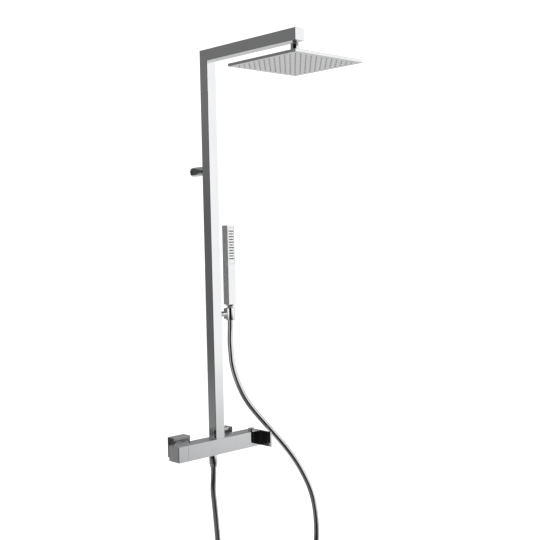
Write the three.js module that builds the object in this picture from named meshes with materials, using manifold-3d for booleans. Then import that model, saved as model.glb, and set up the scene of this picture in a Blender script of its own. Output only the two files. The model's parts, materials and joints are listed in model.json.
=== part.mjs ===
// Rainfall shower column: a square bar mixer on two wall unions, a square riser and
// overhead arm, a flat square rain head on a ball joint, and a stick handset with its hose.
// Millimetres. +X runs right along the mixer, +Y into the wall, +Z up. The origin lies on the
// wall plane, midway between the two water inlets.
import * as THREE from "three";
import { mergeVertices } from "three/addons/utils/BufferGeometryUtils.js";
import Module from "manifold-3d";

const wasm = await Module();
wasm.setup();

// ---- driving dimensions ----
const GAP = 0.3; // clearance between touching pieces
const INLET_SPACING = 150; // standard distance between hot and cold inlets
const ECCENTRIC = { x: 9, z: -4.5 }; // offset that both unions give the mixer

const SECTION = 30; // outer side of the riser and arm tube
const TUBE_WALL = 1.5;
const END_CAP = 2;
const MITRE_GAP = 0.1; // half the height left between the two mitred tube ends
const FRONT_Y = -85; // flush front plane of mixer and riser
const ARM_TOP = 1043;
const ARM_END = -411;

const BAR = { left: -100, right: 128, back: -43, height: 41 };
const KNOB_LENGTH = 31.5;
const HANDLE_LENGTH = 25.5;
const LEVER = { thickness: 5, front: -124.5 };
const STOP_BUTTON = { x: 139, radius: 9, height: 6, stem: 4, depth: 4 };
const END_CHAMFER = 1.3;
const CARTRIDGE = { radius: 15, depth: 62 };

const ESCUTCHEON = { side: 54, depth: 27, wall: 3 };
const UNION = { radius: 12, bore: 7.5, stubRadius: 10, stubBore: 6, nutRadius: 16, nutLength: 13 };
const POST = { radius: 12.5, neck: 9, height: 728, end: -49 };

const HEAD = { side: 228, thickness: 7, underside: 958, y: -394, inset: 2.4 };
const NOZZLES = 12; // nozzles along each side of the head
const NOZZLE_PITCH = 17.1;
const NOZZLE_HOLE = 4;
const BALL = { radius: 6.5, z: 1000, seat: 1.3 };
const BALL_NUT = { radius: 10.5, flat: 9.7, mouth: 6.9, top: 9.2, low: -7.6 };

const HOLDER = {
  x: 67,
  z: 346,
  pinRadius: 7,
  cupRadius: 11.8,
  cupBore: 9.5,
  mouth: 7.8, // half the width of the slot that the hose passes through
  cupLow: 327.5,
  cupHigh: 361.5,
};
const HANDSET = { width: 25, depth: 22, low: 370, high: 583, bore: 7 };

const OUTLET = { x: 0, radius: 11, low: -60, bore: 3.5 };
const HOSE_DIAMETER = 15;
const HOSE_SIDES = 10;
const HOSE_STEPS = 60;

const SIDES = 16; // flats round an ordinary turned piece
const FINE_SIDES = 24; // flats round a large one
const SMALL_SIDES = 12; // flats round a screw or its hole
// The hose hangs from the handset, swings out to the right and comes back up to the outlet.
const HOSE_ROUTE = [
  [67, -70, 332.7], [67, -70, 315], [66, -70, 295], [64, -71, 270], [64, -73, 240],
  [65, -76, 209], [71, -80, 178], [82, -85, 144], [100, -91, 107], [127, -97, 71],
  [157, -102, 37], [187, -106, 4], [218, -110, -31], [246, -114, -66], [269, -118, -100],
  [287, -123, -134], [301, -128, -168], [310, -132, -203], [313, -136, -237], [313, -139, -279],
  [309, -140, -325], [298, -137, -376], [275, -130, -426], [238, -120, -466], [192, -109, -490],
  [143, -97, -494], [98, -86, -477], [62, -76, -441], [37, -69, -392], [21, -65, -338],
  [11, -64, -280], [6, -64, -225], [1, -64, -167], [-3, -64, -125], [-1, -64, -93],
  [0, -64, -75], [0, -64, -60.3],
];

// ---- derived places ----
const COLUMN_X = ECCENTRIC.x;
const BACK_Y = FRONT_Y + SECTION;
const COLUMN_Y = (FRONT_Y + BACK_Y) / 2;
const HALF = SECTION / 2;
const BORE = HALF - TUBE_WALL;
const ARM_LOW = ARM_TOP - SECTION;
const BAR_Z = ECCENTRIC.z;
const BAR_TOP = BAR_Z + BAR.height / 2;
const BAR_LOW = BAR_Z - BAR.height / 2;
const BAR_Y = (FRONT_Y + BAR.back) / 2;
const FOOT = BAR_TOP + GAP;
const KNOB = { left: BAR.left - GAP - KNOB_LENGTH, right: BAR.left - GAP };
const HANDLE = { left: BAR.right + GAP, right: BAR.right + GAP + HANDLE_LENGTH };
const HEAD_TOP = HEAD.underside + HEAD.thickness;
const INLETS = [["left", -1], ["right", 1]];

// ---- materials ----
const finish = (color, roughness, metalness) =>
  new THREE.MeshStandardMaterial({ color, roughness, metalness });
const CHROME = finish(0xd4d6da, 0.08, 1);
const STEEL = finish(0xb9bcc0, 0.3, 1);
const BRASS = finish(0xb8964a, 0.35, 1);
const BLACK_RUBBER = finish(0x1a1a1a, 0.8, 0);
const CERAMIC_GREY = finish(0x8a8d90, 0.5, 0);
const SILICONE = finish(0x60646a, 0.6, 0);
const WHITE_PLASTIC = finish(0xe8e8e6, 0.4, 0);

// ---- shape helpers ----
function solid(geometry) {
  const bare = geometry.clone();
  bare.deleteAttribute("normal");
  bare.deleteAttribute("uv");
  const merged = mergeVertices(bare, 1e-4);
  return new wasm.Manifold(
    new wasm.Mesh({
      numProp: 3,
      vertProperties: merged.attributes.position.array,
      triVerts: new Uint32Array(merged.index.array),
    }),
  );
}

function box(x0, x1, y0, y1, z0, z1) {
  const geometry = new THREE.BoxGeometry(x1 - x0, y1 - y0, z1 - z0);
  geometry.translate((x0 + x1) / 2, (y0 + y1) / 2, (z0 + z1) / 2);
  return solid(geometry);
}

// A closed outline of [radius, height] points turned about an axis through a place.
function turned(outline, place, axis = "z", sides = SIDES) {
  const points = [...outline, outline[0]].map(([r, h]) => new THREE.Vector2(r, h));
  const geometry = new THREE.LatheGeometry(points, sides);
  if (axis === "z") geometry.rotateX(Math.PI / 2);
  if (axis === "x") geometry.rotateZ(-Math.PI / 2);
  geometry.translate(...place);
  const made = solid(geometry);
  if (made.volume() > 0) return made;
  return turned([...outline].reverse(), place, axis, sides);
}

const rod = (radius, from, to, place, axis = "z", sides = SIDES) =>
  turned([[0, from], [radius, from], [radius, to], [0, to]], place, axis, sides);

const ring = (inner, outer, from, to, place, axis = "z", sides = SIDES) =>
  turned([[inner, from], [outer, from], [outer, to], [inner, to]], place, axis, sides);

// An outline pushed straight along an axis. Its points are [y, z] along x, [z, x] along y and
// [x, y] along z.
function pushed(outline, axis, from, to) {
  const shape = new THREE.Shape(outline.map(([a, b]) => new THREE.Vector2(a, b)));
  const geometry = new THREE.ExtrudeGeometry(shape, { depth: to - from, bevelEnabled: false });
  geometry.translate(0, 0, from);
  const turn = new THREE.Matrix4();
  const x = new THREE.Vector3(1, 0, 0);
  const y = new THREE.Vector3(0, 1, 0);
  const z = new THREE.Vector3(0, 0, 1);
  if (axis === "x") turn.makeBasis(y, z, x);
  if (axis === "y") turn.makeBasis(z, x, y);
  return solid(geometry.applyMatrix4(turn));
}

const cut = (body, ...tools) => tools.reduce((left, tool) => left.subtract(tool), body);
const join = (body, ...others) => others.reduce((left, other) => left.add(other), body);

const model = new THREE.Group();

function piece(name, body, material) {
  const mesh = body.getMesh();
  const geometry = new THREE.BufferGeometry();
  geometry.setAttribute("position", new THREE.BufferAttribute(mesh.vertProperties, 3));
  geometry.setIndex(new THREE.BufferAttribute(mesh.triVerts, 1));
  geometry.computeVertexNormals();
  const made = new THREE.Mesh(geometry, material);
  made.name = name;
  model.add(made);
}

// ---- wall unions ----
function wallUnion(side, sign) {
  const wallX = (sign * INLET_SPACING) / 2;
  const onWall = [wallX, 0, 0];
  const onMixer = [wallX + ECCENTRIC.x, 0, BAR_Z];
  const half = ESCUTCHEON.side / 2;
  const inner = half - ESCUTCHEON.wall;
  const shell = cut(
    box(wallX - half, wallX + half, -ESCUTCHEON.depth, 0, -half, half),
    box(wallX - inner, wallX + inner, ESCUTCHEON.wall - ESCUTCHEON.depth, 1, -inner, inner),
    rod(UNION.radius + 2.5, -ESCUTCHEON.depth - 1, 1, onMixer, "y"),
  );
  piece(`${side}_escutcheon`, shell, CHROME);

  const stub = rod(UNION.stubRadius, -24, -0.5, onWall, "y");
  const offset = rod(UNION.radius, -40, -16, onMixer, "y");
  const waterway = join(
    rod(UNION.stubBore, -22, 1, onWall, "y"),
    rod(UNION.bore, -41, -18, onMixer, "y"),
  );
  piece(`${side}_eccentric_union`, cut(join(stub, offset), waterway), BRASS);

  const nutEnd = BAR.back + 0.4;
  const nut = ring(UNION.radius + GAP, UNION.nutRadius, nutEnd, nutEnd + UNION.nutLength, onMixer, "y", 20);
  piece(`${side}_union_nut`, nut, CHROME);
  const seal = ring(UNION.bore, UNION.radius - 0.5, BAR.back + GAP, -40 - GAP, onMixer, "y");
  piece(`${side}_inlet_seal`, seal, BLACK_RUBBER);
}

// ---- mixer ----
function mixerBody() {
  const shell = box(BAR.left, BAR.right, FRONT_Y, BAR.back, BAR_LOW, BAR_TOP);
  const axis = [0, BAR_Y, BAR_Z];
  const bores = [
    rod(CARTRIDGE.radius + GAP, BAR.left - 1, BAR.left + CARTRIDGE.depth, axis, "x"),
    rod(CARTRIDGE.radius + GAP, BAR.right - CARTRIDGE.depth, BAR.right + 1, axis, "x"),
    rod(8, BAR.left + CARTRIDGE.depth - 1, BAR.right - CARTRIDGE.depth + 1, axis, "x"),
    rod(10.3, BAR_TOP - 14, BAR_TOP + 1, [COLUMN_X, COLUMN_Y, 0]),
    rod(5, BAR_Z, BAR_TOP - 13, [COLUMN_X, COLUMN_Y, 0], "z", SMALL_SIDES),
    rod(7.3, BAR_LOW - 1, BAR_LOW + 12, [OUTLET.x, BAR_Y, 0]),
    rod(5, BAR_LOW + 11, BAR_Z, [OUTLET.x, BAR_Y, 0], "z", SMALL_SIDES),
  ];
  for (const [, sign] of INLETS) {
    const x = (sign * INLET_SPACING) / 2 + ECCENTRIC.x;
    bores.push(rod(6.5, BAR_Y, BAR.back + 1, [x, 0, BAR_Z], "y"));
  }
  piece("mixer_body", cut(shell, ...bores), CHROME);
}

// A cartridge, its retaining ring and the splined spindle that its knob turns.
function cartridge(name, end, sign) {
  const axis = [end, BAR_Y, BAR_Z];
  const span = (a, b) => (sign > 0 ? [-b, -a] : [a, b]);
  const radius = CARTRIDGE.radius - 0.2;
  const body = cut(rod(radius, ...span(10, 50), axis, "x"), rod(5.3, ...span(9, 30), axis, "x"));
  piece(`${name}_cartridge`, body, CERAMIC_GREY);
  piece(`${name}_cartridge_ring`, ring(5.5, radius, ...span(1, 9.5), axis, "x"), BRASS);
  piece(`${name}_spindle`, rod(4.5, ...span(-14, 28), axis, "x"), BRASS);
}

// A square block on the end of the mixer, its outer end chamfered on four sides, and the bores
// for its spindle and for the grub screw that holds it.
function endBlock(inner, outer, chamfer) {
  const sign = Math.sign(outer - inner);
  const shoulder = outer - sign * chamfer;
  const outline = (low, high) => [
    [inner, low], [shoulder, low], [outer, low + chamfer], [outer, high - chamfer],
    [shoulder, high], [inner, high],
  ];
  const sides = pushed(outline(FRONT_Y, BAR.back), "z", BAR_LOW, BAR_TOP);
  const faces = pushed(outline(BAR_LOW, BAR_TOP).map(([x, z]) => [z, x]), "y", FRONT_Y, BAR.back);
  const shaft = [inner - sign, inner + sign * 15].sort((a, b) => a - b);
  const grub = [inner + sign * 8, BAR_Y, 0];
  return {
    body: cut(
      sides.intersect(faces),
      rod(4.8, ...shaft, [0, BAR_Y, BAR_Z], "x"),
      rod(2.3, BAR_LOW - 1, BAR_Z - 5.2, grub, "z", SMALL_SIDES),
    ),
    screw: rod(2, BAR_LOW + 2, BAR_Z - 5.2, grub, "z", SMALL_SIDES),
  };
}

function diverterKnob() {
  const { body, screw } = endBlock(KNOB.right, KNOB.left, END_CHAMFER);
  piece("diverter_knob", body, CHROME);
  piece("diverter_grub_screw", screw, STEEL);
}

function temperatureLever() {
  const { body, screw } = endBlock(HANDLE.left, HANDLE.right, 0.5);
  const screwLine = [0, BAR_Y, BAR_Z + 12];
  const through = rod(3, HANDLE.left - 1, HANDLE.right + 1, screwLine, "x", SMALL_SIDES);
  const { x, radius, height, stem, depth } = STOP_BUTTON;
  const onTop = [x, BAR_Y, 0];
  const socket = rod(stem + GAP, BAR_TOP - depth - GAP, BAR_TOP + 1, onTop);
  piece("temperature_handle", cut(body, through, socket), CHROME);
  const button = turned(
    [
      [0, BAR_TOP - depth], [stem, BAR_TOP - depth], [stem, BAR_TOP + GAP], [radius, BAR_TOP + GAP],
      [radius, BAR_TOP + height - 1], [radius - 1, BAR_TOP + height], [0, BAR_TOP + height],
    ],
    onTop, "z", FINE_SIDES,
  );
  piece("temperature_stop_button", button, CHROME);
  piece("temperature_grub_screw", screw, STEEL);
  const plateLeft = HANDLE.right + GAP;
  const plateRight = plateLeft + LEVER.thickness;
  const plate = box(plateLeft, plateRight, LEVER.front, BAR.back, BAR_LOW, BAR_TOP);
  const tapped = rod(2.3, plateLeft - 1, plateLeft + 3, screwLine, "x", SMALL_SIDES);
  piece("temperature_lever_plate", cut(plate, tapped), CHROME);
  const screwBody = rod(2, HANDLE.left + 3, plateLeft + 2.5, screwLine, "x", SMALL_SIDES);
  piece("lever_plate_screw", screwBody, STEEL);
}

// ---- riser and arm ----
// The wedge on one side of the 45 degree cut where the riser meets the arm: 1 above it, -1 below.
function mitreWedge(side) {
  const far = 60;
  const shift = -MITRE_GAP * side;
  const high = [BACK_Y + far, ARM_TOP + far + shift];
  const low = [FRONT_Y - far, ARM_LOW - far + shift];
  const corner = side > 0 ? [low[0], high[1]] : [high[0], low[1]];
  return pushed([high, low, corner], "x", COLUMN_X - SECTION, COLUMN_X + SECTION);
}

function column() {
  const tubeX = [COLUMN_X - HALF, COLUMN_X + HALF];
  const boreX = [COLUMN_X - BORE, COLUMN_X + BORE];
  const grubZ = FOOT + 14;
  const riser = cut(
    box(...tubeX, FRONT_Y, BACK_Y, FOOT, ARM_TOP),
    box(...boreX, FRONT_Y + TUBE_WALL, BACK_Y - TUBE_WALL, FOOT - 1, ARM_TOP - TUBE_WALL),
    mitreWedge(1),
    rod(2.9, BACK_Y - 4, BACK_Y + 1, [COLUMN_X, 0, grubZ], "y", SMALL_SIDES),
    rod(5.3, HALF - 4, HALF + 1, [COLUMN_X, COLUMN_Y, HOLDER.z], "x"),
    rod(5.3, BACK_Y - 4, BACK_Y + 1, [COLUMN_X, 0, POST.height], "y"),
  );
  piece("riser_tube", riser, CHROME);

  const innerEnd = ARM_END + END_CAP;
  const onHead = [COLUMN_X, HEAD.y, 0];
  const arm = cut(
    box(...tubeX, innerEnd + GAP, BACK_Y, ARM_LOW, ARM_TOP),
    box(...boreX, ARM_END - 1, BACK_Y - TUBE_WALL, ARM_LOW + TUBE_WALL, ARM_TOP - TUBE_WALL),
    mitreWedge(-1),
    rod(5.5, ARM_LOW - 1, ARM_LOW + 4, onHead),
  );
  piece("overhead_arm", arm, CHROME);

  const plug = BORE - GAP;
  const plugX = [COLUMN_X - plug, COLUMN_X + plug];
  const middle = ARM_LOW + HALF;
  const cap = join(
    box(...tubeX, ARM_END, innerEnd, ARM_LOW, ARM_TOP),
    box(...plugX, ARM_END + 1, innerEnd + 3, middle - plug, middle + plug),
  );
  piece("arm_end_cap", cap, CHROME);
  const bossLow = ARM_LOW + TUBE_WALL + GAP;
  const boss = cut(
    box(...plugX, HEAD.y - 11, HEAD.y + 14, bossLow, bossLow + 14),
    rod(5.3, bossLow - 1, bossLow + 15, onHead),
  );
  piece("arm_outlet_boss", boss, BRASS);
}

// The turned spigot in the riser's foot, with a groove for its ring and a seat for its grub screw.
function columnFoot() {
  const onBar = [COLUMN_X, COLUMN_Y, 0];
  const grubPlace = [COLUMN_X, 0, FOOT + 14];
  const spigot = turned(
    [
      [4, BAR_TOP - 12], [10, BAR_TOP - 12], [10, FOOT + 20], [9, FOOT + 20],
      [9, FOOT + 24], [10, FOOT + 24], [10, FOOT + 30], [4, FOOT + 30],
    ],
    onBar,
  );
  const grubSeat = rod(2.9, COLUMN_Y + 8.5, COLUMN_Y + 14, grubPlace, "y", SMALL_SIDES);
  piece("column_spigot", cut(spigot, grubSeat), BRASS);
  piece("spigot_o_ring", ring(9.3, 13.1, FOOT + 20.6, FOOT + 23.4, onBar), BLACK_RUBBER);
  const grub = rod(2.5, COLUMN_Y + 8.8, BACK_Y - GAP, grubPlace, "y", SMALL_SIDES);
  piece("column_grub_screw", grub, STEEL);
}

// ---- wall fixing ----
function wallPost() {
  const { radius, height, end, neck } = POST;
  const place = [COLUMN_X, 0, height];
  const grubPlace = [COLUMN_X, -8.5, height];
  const shell = turned(
    [
      [0, end], [10, end], [10, end + 1.5], [radius, end + 3], [radius, -5], [neck, -5],
      [neck, -12], [0, -12],
    ],
    place, "y", FINE_SIDES,
  );
  const grubHole = rod(2.4, -radius - 1, -8, grubPlace, "z", SMALL_SIDES);
  piece("wall_post", cut(shell, grubHole), CHROME);
  piece("post_neck_ring", ring(5.5, 9.5, BACK_Y + GAP, end - GAP, place, "y"), BLACK_RUBBER);
  piece("post_screw", rod(5, BACK_Y - 3.5, end - GAP, place, "y"), STEEL);
  const flange = cut(
    turned(
      [
        [0, -11.6], [neck - 0.4, -11.6], [neck - 0.4, -4.7], [radius - 1, -4.7], [radius, -3.7],
        [radius, 0], [0, 0],
      ],
      place, "y", FINE_SIDES,
    ),
    rod(2.6, -20, -2, place, "y", SMALL_SIDES),
  );
  piece("wall_flange", flange, CHROME);
  piece("post_grub_screw", rod(2.1, -radius + 0.5, -9, grubPlace, "z", SMALL_SIDES), STEEL);
}

// ---- rain head and its ball joint ----
const arc = (radius, from, to, steps) =>
  Array.from({ length: steps + 1 }, (_, i) => {
    const a = from + ((to - from) * i) / steps;
    return [radius * Math.cos(a), radius * Math.sin(a)];
  });
const UP = Math.PI / 2;

function ballJoint() {
  const centre = [COLUMN_X, HEAD.y, BALL.z];
  const armLow = ARM_LOW - BALL.z;
  const shoulder = armLow - 1.8;
  const stem = turned(
    [
      [2, -BALL.radius + 0.4], ...arc(BALL.radius, -UP * 0.8, UP * 0.58, 8), [4, 8],
      [4, shoulder], [7.2, shoulder], [7.2, armLow - GAP], [5, armLow - GAP],
      [5, armLow + 13], [2, armLow + 13],
    ],
    centre,
  );
  piece("ball_stem", stem, CHROME);
  const seat = (from, to) => [
    ...arc(BALL.radius + GAP, from, to, 3),
    ...arc(BALL.radius + BALL.seat, to, from, 3),
  ];
  piece("upper_ball_seat", turned(seat(UP * 0.16, UP * 0.44), centre), WHITE_PLASTIC);
  piece("lower_ball_seat", turned(seat(-UP * 0.55, -UP * 0.05), centre), WHITE_PLASTIC);
  const { radius, flat, mouth, top, low } = BALL_NUT;
  const nut = turned(
    [
      ...arc(BALL.radius + BALL.seat + GAP, -UP * 0.5, UP * 0.48, 8), [mouth, top],
      [radius - 1.2, top], [radius, top - 1.2], [radius, low + 1], [radius - 0.9, low], [6.2, low],
    ],
    centre,
  );
  const flats = [-1, 1].map((side) => {
    const across = [COLUMN_X + side * flat, COLUMN_X + side * (flat + 4)].sort((a, b) => a - b);
    return box(...across, HEAD.y - radius - 1, HEAD.y + radius + 1, BALL.z - 6, BALL.z - 1);
  });
  piece("ball_nut", cut(nut, ...flats), CHROME);
}

function rainHead() {
  const centre = [COLUMN_X, HEAD.y, 0];
  const { underside, inset } = HEAD;
  const hubTop = HEAD_TOP + 26.8;
  const hub = turned(
    [
      [2.5, HEAD_TOP - 1], [22, HEAD_TOP - 1], [22, HEAD_TOP + 1.5], [16, HEAD_TOP + 5],
      [11, HEAD_TOP + 14], [9.5, hubTop], [2.5, hubTop],
    ],
    centre,
  );
  const slab = (margin, low, high) => {
    const half = HEAD.side / 2 - margin;
    return box(COLUMN_X - half, COLUMN_X + half, HEAD.y - half, HEAD.y + half, low, high);
  };
  const shell = cut(
    join(slab(0, underside, HEAD_TOP), hub),
    slab(2, underside - 1, HEAD_TOP - 1.5),
    rod(2.5, HEAD_TOP - 5, hubTop + 1, centre),
  );
  piece("head_shell", shell, CHROME);
  const frame = cut(slab(inset, underside + 3.9, HEAD_TOP - 1.9), slab(7, underside, HEAD_TOP));
  piece("head_gasket", frame, BLACK_RUBBER);
  piece("nozzle_mat", slab(inset, underside + 2.1, underside + 3.5), SILICONE);
  const first = (-NOZZLE_PITCH * (NOZZLES - 1)) / 2;
  const holes = [];
  for (let i = 0; i < NOZZLES; i++) {
    for (let j = 0; j < NOZZLES; j++) {
      const place = [COLUMN_X + first + i * NOZZLE_PITCH, HEAD.y + first + j * NOZZLE_PITCH, 0];
      holes.push(rod(NOZZLE_HOLE / 2, underside - 1, underside + 3, place, "z", 4));
    }
  }
  const plate = slab(inset, underside + GAP, underside + 1.7);
  piece("spray_plate", cut(plate, wasm.Manifold.union(holes)), STEEL);
}

// ---- handset and its holder ----
function holder() {
  const { x, z, pinRadius, cupRadius, cupLow, cupHigh, cupBore, mouth } = HOLDER;
  const side = COLUMN_X + HALF;
  const axis = [0, COLUMN_Y, z];
  const cup = [x, COLUMN_Y, 0];
  const lug = side + 26;
  const seat = lug + 4.6;
  const pin = join(
    rod(pinRadius, side + GAP, lug - GAP, axis, "x"),
    rod(5, side - 3, side + 1, axis, "x"),
    rod(3.5, lug - 1, seat - 0.1, axis, "x"),
  );
  piece("holder_pin", cut(pin, rod(1.4, lug - 6, lug + 6, axis, "x", SMALL_SIDES)), CHROME);
  const screw = join(
    rod(1.1, lug - 5, lug + 5, axis, "x", SMALL_SIDES),
    rod(2.6, seat + 0.2, seat + 1.6, axis, "x", SMALL_SIDES),
  );
  piece("holder_pin_screw", screw, STEEL);
  const friction = ring(3.8, 6.2, lug + GAP, lug + 1.7, axis, "x");
  piece("holder_friction_ring", friction, BLACK_RUBBER);

  const block = box(lug, x - cupBore, COLUMN_Y - 7.5, COLUMN_Y + 7.5, z - 14.5, z + 14.5);
  const bore = [
    [0, cupLow - 1], [cupBore - 0.6, cupLow - 1], [cupBore + 0.4, cupHigh + 1], [0, cupHigh + 1],
  ];
  const body = cut(
    join(block, rod(cupRadius, cupLow, cupHigh, cup, "z", FINE_SIDES)),
    turned(bore, cup, "z", FINE_SIDES),
    box(x, x + 20, COLUMN_Y - mouth, COLUMN_Y + mouth, cupLow - 1, cupHigh + 1),
    rod(3.7, lug - 1, lug + 5, axis, "x"),
    rod(6.4, lug - 1, lug + 2, axis, "x"),
    rod(3.2, seat, x, axis, "x", SMALL_SIDES),
  );
  piece("handset_holder", body, CHROME);
}

function handset() {
  const { width, depth, low, high, bore } = HANDSET;
  const { x } = HOLDER;
  const place = [x, COLUMN_Y, 0];
  const front = COLUMN_Y - depth / 2;
  const stick = cut(
    box(x - width / 2, x + width / 2, front, COLUMN_Y + depth / 2, low, high),
    box(x - 9.5, x + 9.5, front - 1, front + 3.5, high - 104, high - 6),
    rod(bore + 0.5, low + 10, high - 6, place),
    rod(bore, low - 1, low + 12, place),
    box(x - 4, x + 4, front + 2, COLUMN_Y, high - 100, high - 22),
  );
  piece("handset_body", stick, CHROME);
  const strip = box(x - 9.2, x + 9.2, front + 0.2, front + 3.2, high - 103.7, high - 6.3);
  piece("handset_nozzle_strip", strip, CHROME);
  const tail = turned(
    [
      [3.5, low - 16], [5.8, low - 16], [5.8, low - 7], [9.8, low - 4], [11, low - GAP],
      [bore - GAP, low - GAP], [bore - GAP, low + 11], [3.5, low + 11],
    ],
    place,
  );
  piece("handset_tail", tail, CHROME);
  const nutTop = low - 7.6;
  const nutSeat = low - 29;
  const nut = turned(
    [
      [6.2, nutSeat], [6.2, nutTop], [9.3, nutTop], [8.3, nutSeat - 8], [4.5, nutSeat - 8],
      [4.5, nutSeat],
    ],
    place,
  );
  piece("hose_cone_nut", nut, CHROME);
  piece("hose_nut_washer", ring(4, 5.9, nutSeat + 0.4, nutSeat + 2.4, place), BLACK_RUBBER);
  piece("flow_restrictor", ring(1.5, 5.7, nutSeat + 4, nutSeat + 11.5, place), WHITE_PLASTIC);
}

// ---- outlet and hose ----
function outlet() {
  const { x, radius, low, bore } = OUTLET;
  const place = [x, BAR_Y, 0];
  const nippleLow = BAR_LOW - 12;
  const nutSeat = nippleLow - 2.6;
  const nutTop = BAR_LOW - 0.4;
  piece("hose_outlet_nipple", ring(bore, 7, nippleLow, BAR_LOW + 11, place), BRASS);
  const nut = turned(
    [
      [7.4, nutSeat], [7.4, nutTop], [radius, nutTop], [radius, low + 8], [9.4, low + 5],
      [9.4, low], [4.5, low], [4.5, nutSeat],
    ],
    place,
  );
  piece("hose_hex_nut", nut, CHROME);
  piece("outlet_washer", ring(bore + 0.1, 7, nutSeat + GAP, nippleLow - GAP, place), BLACK_RUBBER);
}

function hose() {
  const route = new THREE.CatmullRomCurve3(HOSE_ROUTE.map((p) => new THREE.Vector3(...p)));
  const section = new THREE.Shape();
  section.setFromPoints(
    Array.from({ length: HOSE_SIDES }, (_, i) => {
      const a = (i * 2 * Math.PI) / HOSE_SIDES;
      return new THREE.Vector2(Math.cos(a), Math.sin(a)).multiplyScalar(HOSE_DIAMETER / 2);
    }),
  );
  const tube = new THREE.ExtrudeGeometry(section, { steps: HOSE_STEPS, extrudePath: route });
  piece("shower_hose", solid(tube), STEEL);
}

for (const [side, sign] of INLETS) wallUnion(side, sign);
mixerBody();
cartridge("diverter", BAR.left, -1);
cartridge("mixing", BAR.right, 1);
diverterKnob();
temperatureLever();
column();
columnFoot();
wallPost();
ballJoint();
rainHead();
holder();
handset();
outlet();
hose();

export default model;
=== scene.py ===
# Rainfall shower column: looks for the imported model. Metres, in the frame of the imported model:
# +X runs right along the mixer, +Y into the wall, +Z up.
import json
import math

import bmesh
import bpy
from mathutils import Matrix, Vector

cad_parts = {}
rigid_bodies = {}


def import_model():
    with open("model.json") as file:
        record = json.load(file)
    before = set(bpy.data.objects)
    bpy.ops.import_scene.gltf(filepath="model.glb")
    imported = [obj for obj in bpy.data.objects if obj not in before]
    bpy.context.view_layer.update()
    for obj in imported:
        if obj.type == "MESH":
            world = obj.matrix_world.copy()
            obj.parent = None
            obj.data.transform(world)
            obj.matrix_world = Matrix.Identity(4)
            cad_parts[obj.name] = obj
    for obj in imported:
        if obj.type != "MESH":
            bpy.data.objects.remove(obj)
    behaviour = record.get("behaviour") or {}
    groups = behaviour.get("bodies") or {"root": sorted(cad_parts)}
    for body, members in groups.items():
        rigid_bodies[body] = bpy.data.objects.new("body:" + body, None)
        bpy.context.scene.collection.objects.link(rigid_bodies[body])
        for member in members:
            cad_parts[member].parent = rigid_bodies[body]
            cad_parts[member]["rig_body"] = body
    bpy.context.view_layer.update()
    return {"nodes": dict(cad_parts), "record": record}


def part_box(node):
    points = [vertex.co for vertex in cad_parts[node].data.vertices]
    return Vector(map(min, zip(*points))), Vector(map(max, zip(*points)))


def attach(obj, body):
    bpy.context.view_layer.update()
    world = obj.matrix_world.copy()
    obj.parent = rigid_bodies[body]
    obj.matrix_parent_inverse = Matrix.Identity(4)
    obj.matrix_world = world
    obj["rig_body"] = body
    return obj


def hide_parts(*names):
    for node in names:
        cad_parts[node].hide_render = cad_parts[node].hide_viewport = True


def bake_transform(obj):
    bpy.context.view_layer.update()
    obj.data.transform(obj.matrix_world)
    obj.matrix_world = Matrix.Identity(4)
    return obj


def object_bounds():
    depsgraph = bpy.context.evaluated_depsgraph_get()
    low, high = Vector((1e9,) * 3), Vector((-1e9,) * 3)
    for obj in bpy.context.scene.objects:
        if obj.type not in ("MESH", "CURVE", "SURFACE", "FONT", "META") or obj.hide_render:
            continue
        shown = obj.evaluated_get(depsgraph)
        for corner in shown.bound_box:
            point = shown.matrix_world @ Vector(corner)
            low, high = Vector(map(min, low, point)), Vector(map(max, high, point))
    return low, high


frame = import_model()
NODES = frame["nodes"]
MM = 0.001

# ---- camera ----
CAMERA_PLACE = Vector((-1.585, -1.966, 0.5494))
CAMERA_YAW = math.radians(43.573)  # from +Y towards +X
CAMERA_PITCH = math.radians(-2.033)
CAMERA_ROLL = math.radians(-1.302)
CAMERA_LENS = 62.16  # mm
CAMERA_SENSOR = 36  # mm


def make_camera():
    """The camera that was fitted to the straight edges of the photographed column."""
    forward = Vector((
        math.sin(CAMERA_YAW) * math.cos(CAMERA_PITCH),
        math.cos(CAMERA_YAW) * math.cos(CAMERA_PITCH),
        math.sin(CAMERA_PITCH),
    ))
    level = Vector((math.cos(CAMERA_YAW), -math.sin(CAMERA_YAW), 0))
    upright = level.cross(forward)
    right = math.cos(CAMERA_ROLL) * level + math.sin(CAMERA_ROLL) * upright
    up = right.cross(forward)
    turn = Matrix((right, up, -forward)).transposed().to_4x4()
    data = bpy.data.cameras.new("camera")
    data.lens = CAMERA_LENS
    data.sensor_width = CAMERA_SENSOR
    camera = bpy.data.objects.new("camera", data)
    camera.matrix_world = Matrix.Translation(CAMERA_PLACE) @ turn
    bpy.context.scene.collection.objects.link(camera)
    bpy.context.scene.camera = camera


make_camera()


# ---- mesh helpers ----
TINY = 1e-6
ARC_SHARE = 0.45  # the most of a side that the arc at its end takes
BEVEL_SEGMENTS = 3
BEVEL_ANGLE = math.radians(40)


def new_object(name, bm, sharp=35):
    """A mesh object from bm, smooth but for edges sharper than the given angle."""
    bmesh.ops.recalc_face_normals(bm, faces=bm.faces)
    for face in bm.faces:
        face.smooth = True
    for edge in bm.edges:
        edge.smooth = edge.is_manifold and edge.calc_face_angle(0) < math.radians(sharp)
    mesh = bpy.data.meshes.new(name)
    bm.to_mesh(mesh)
    bm.free()
    made = bpy.data.objects.new(name, mesh)
    bpy.context.scene.collection.objects.link(made)
    return made


def stands_for(piece, node, material):
    """piece is shown in place of a CAD node and rides on that node's body."""
    piece.data.materials.append(material)
    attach(piece, NODES[node]["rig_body"])
    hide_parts(node)
    return piece


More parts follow.
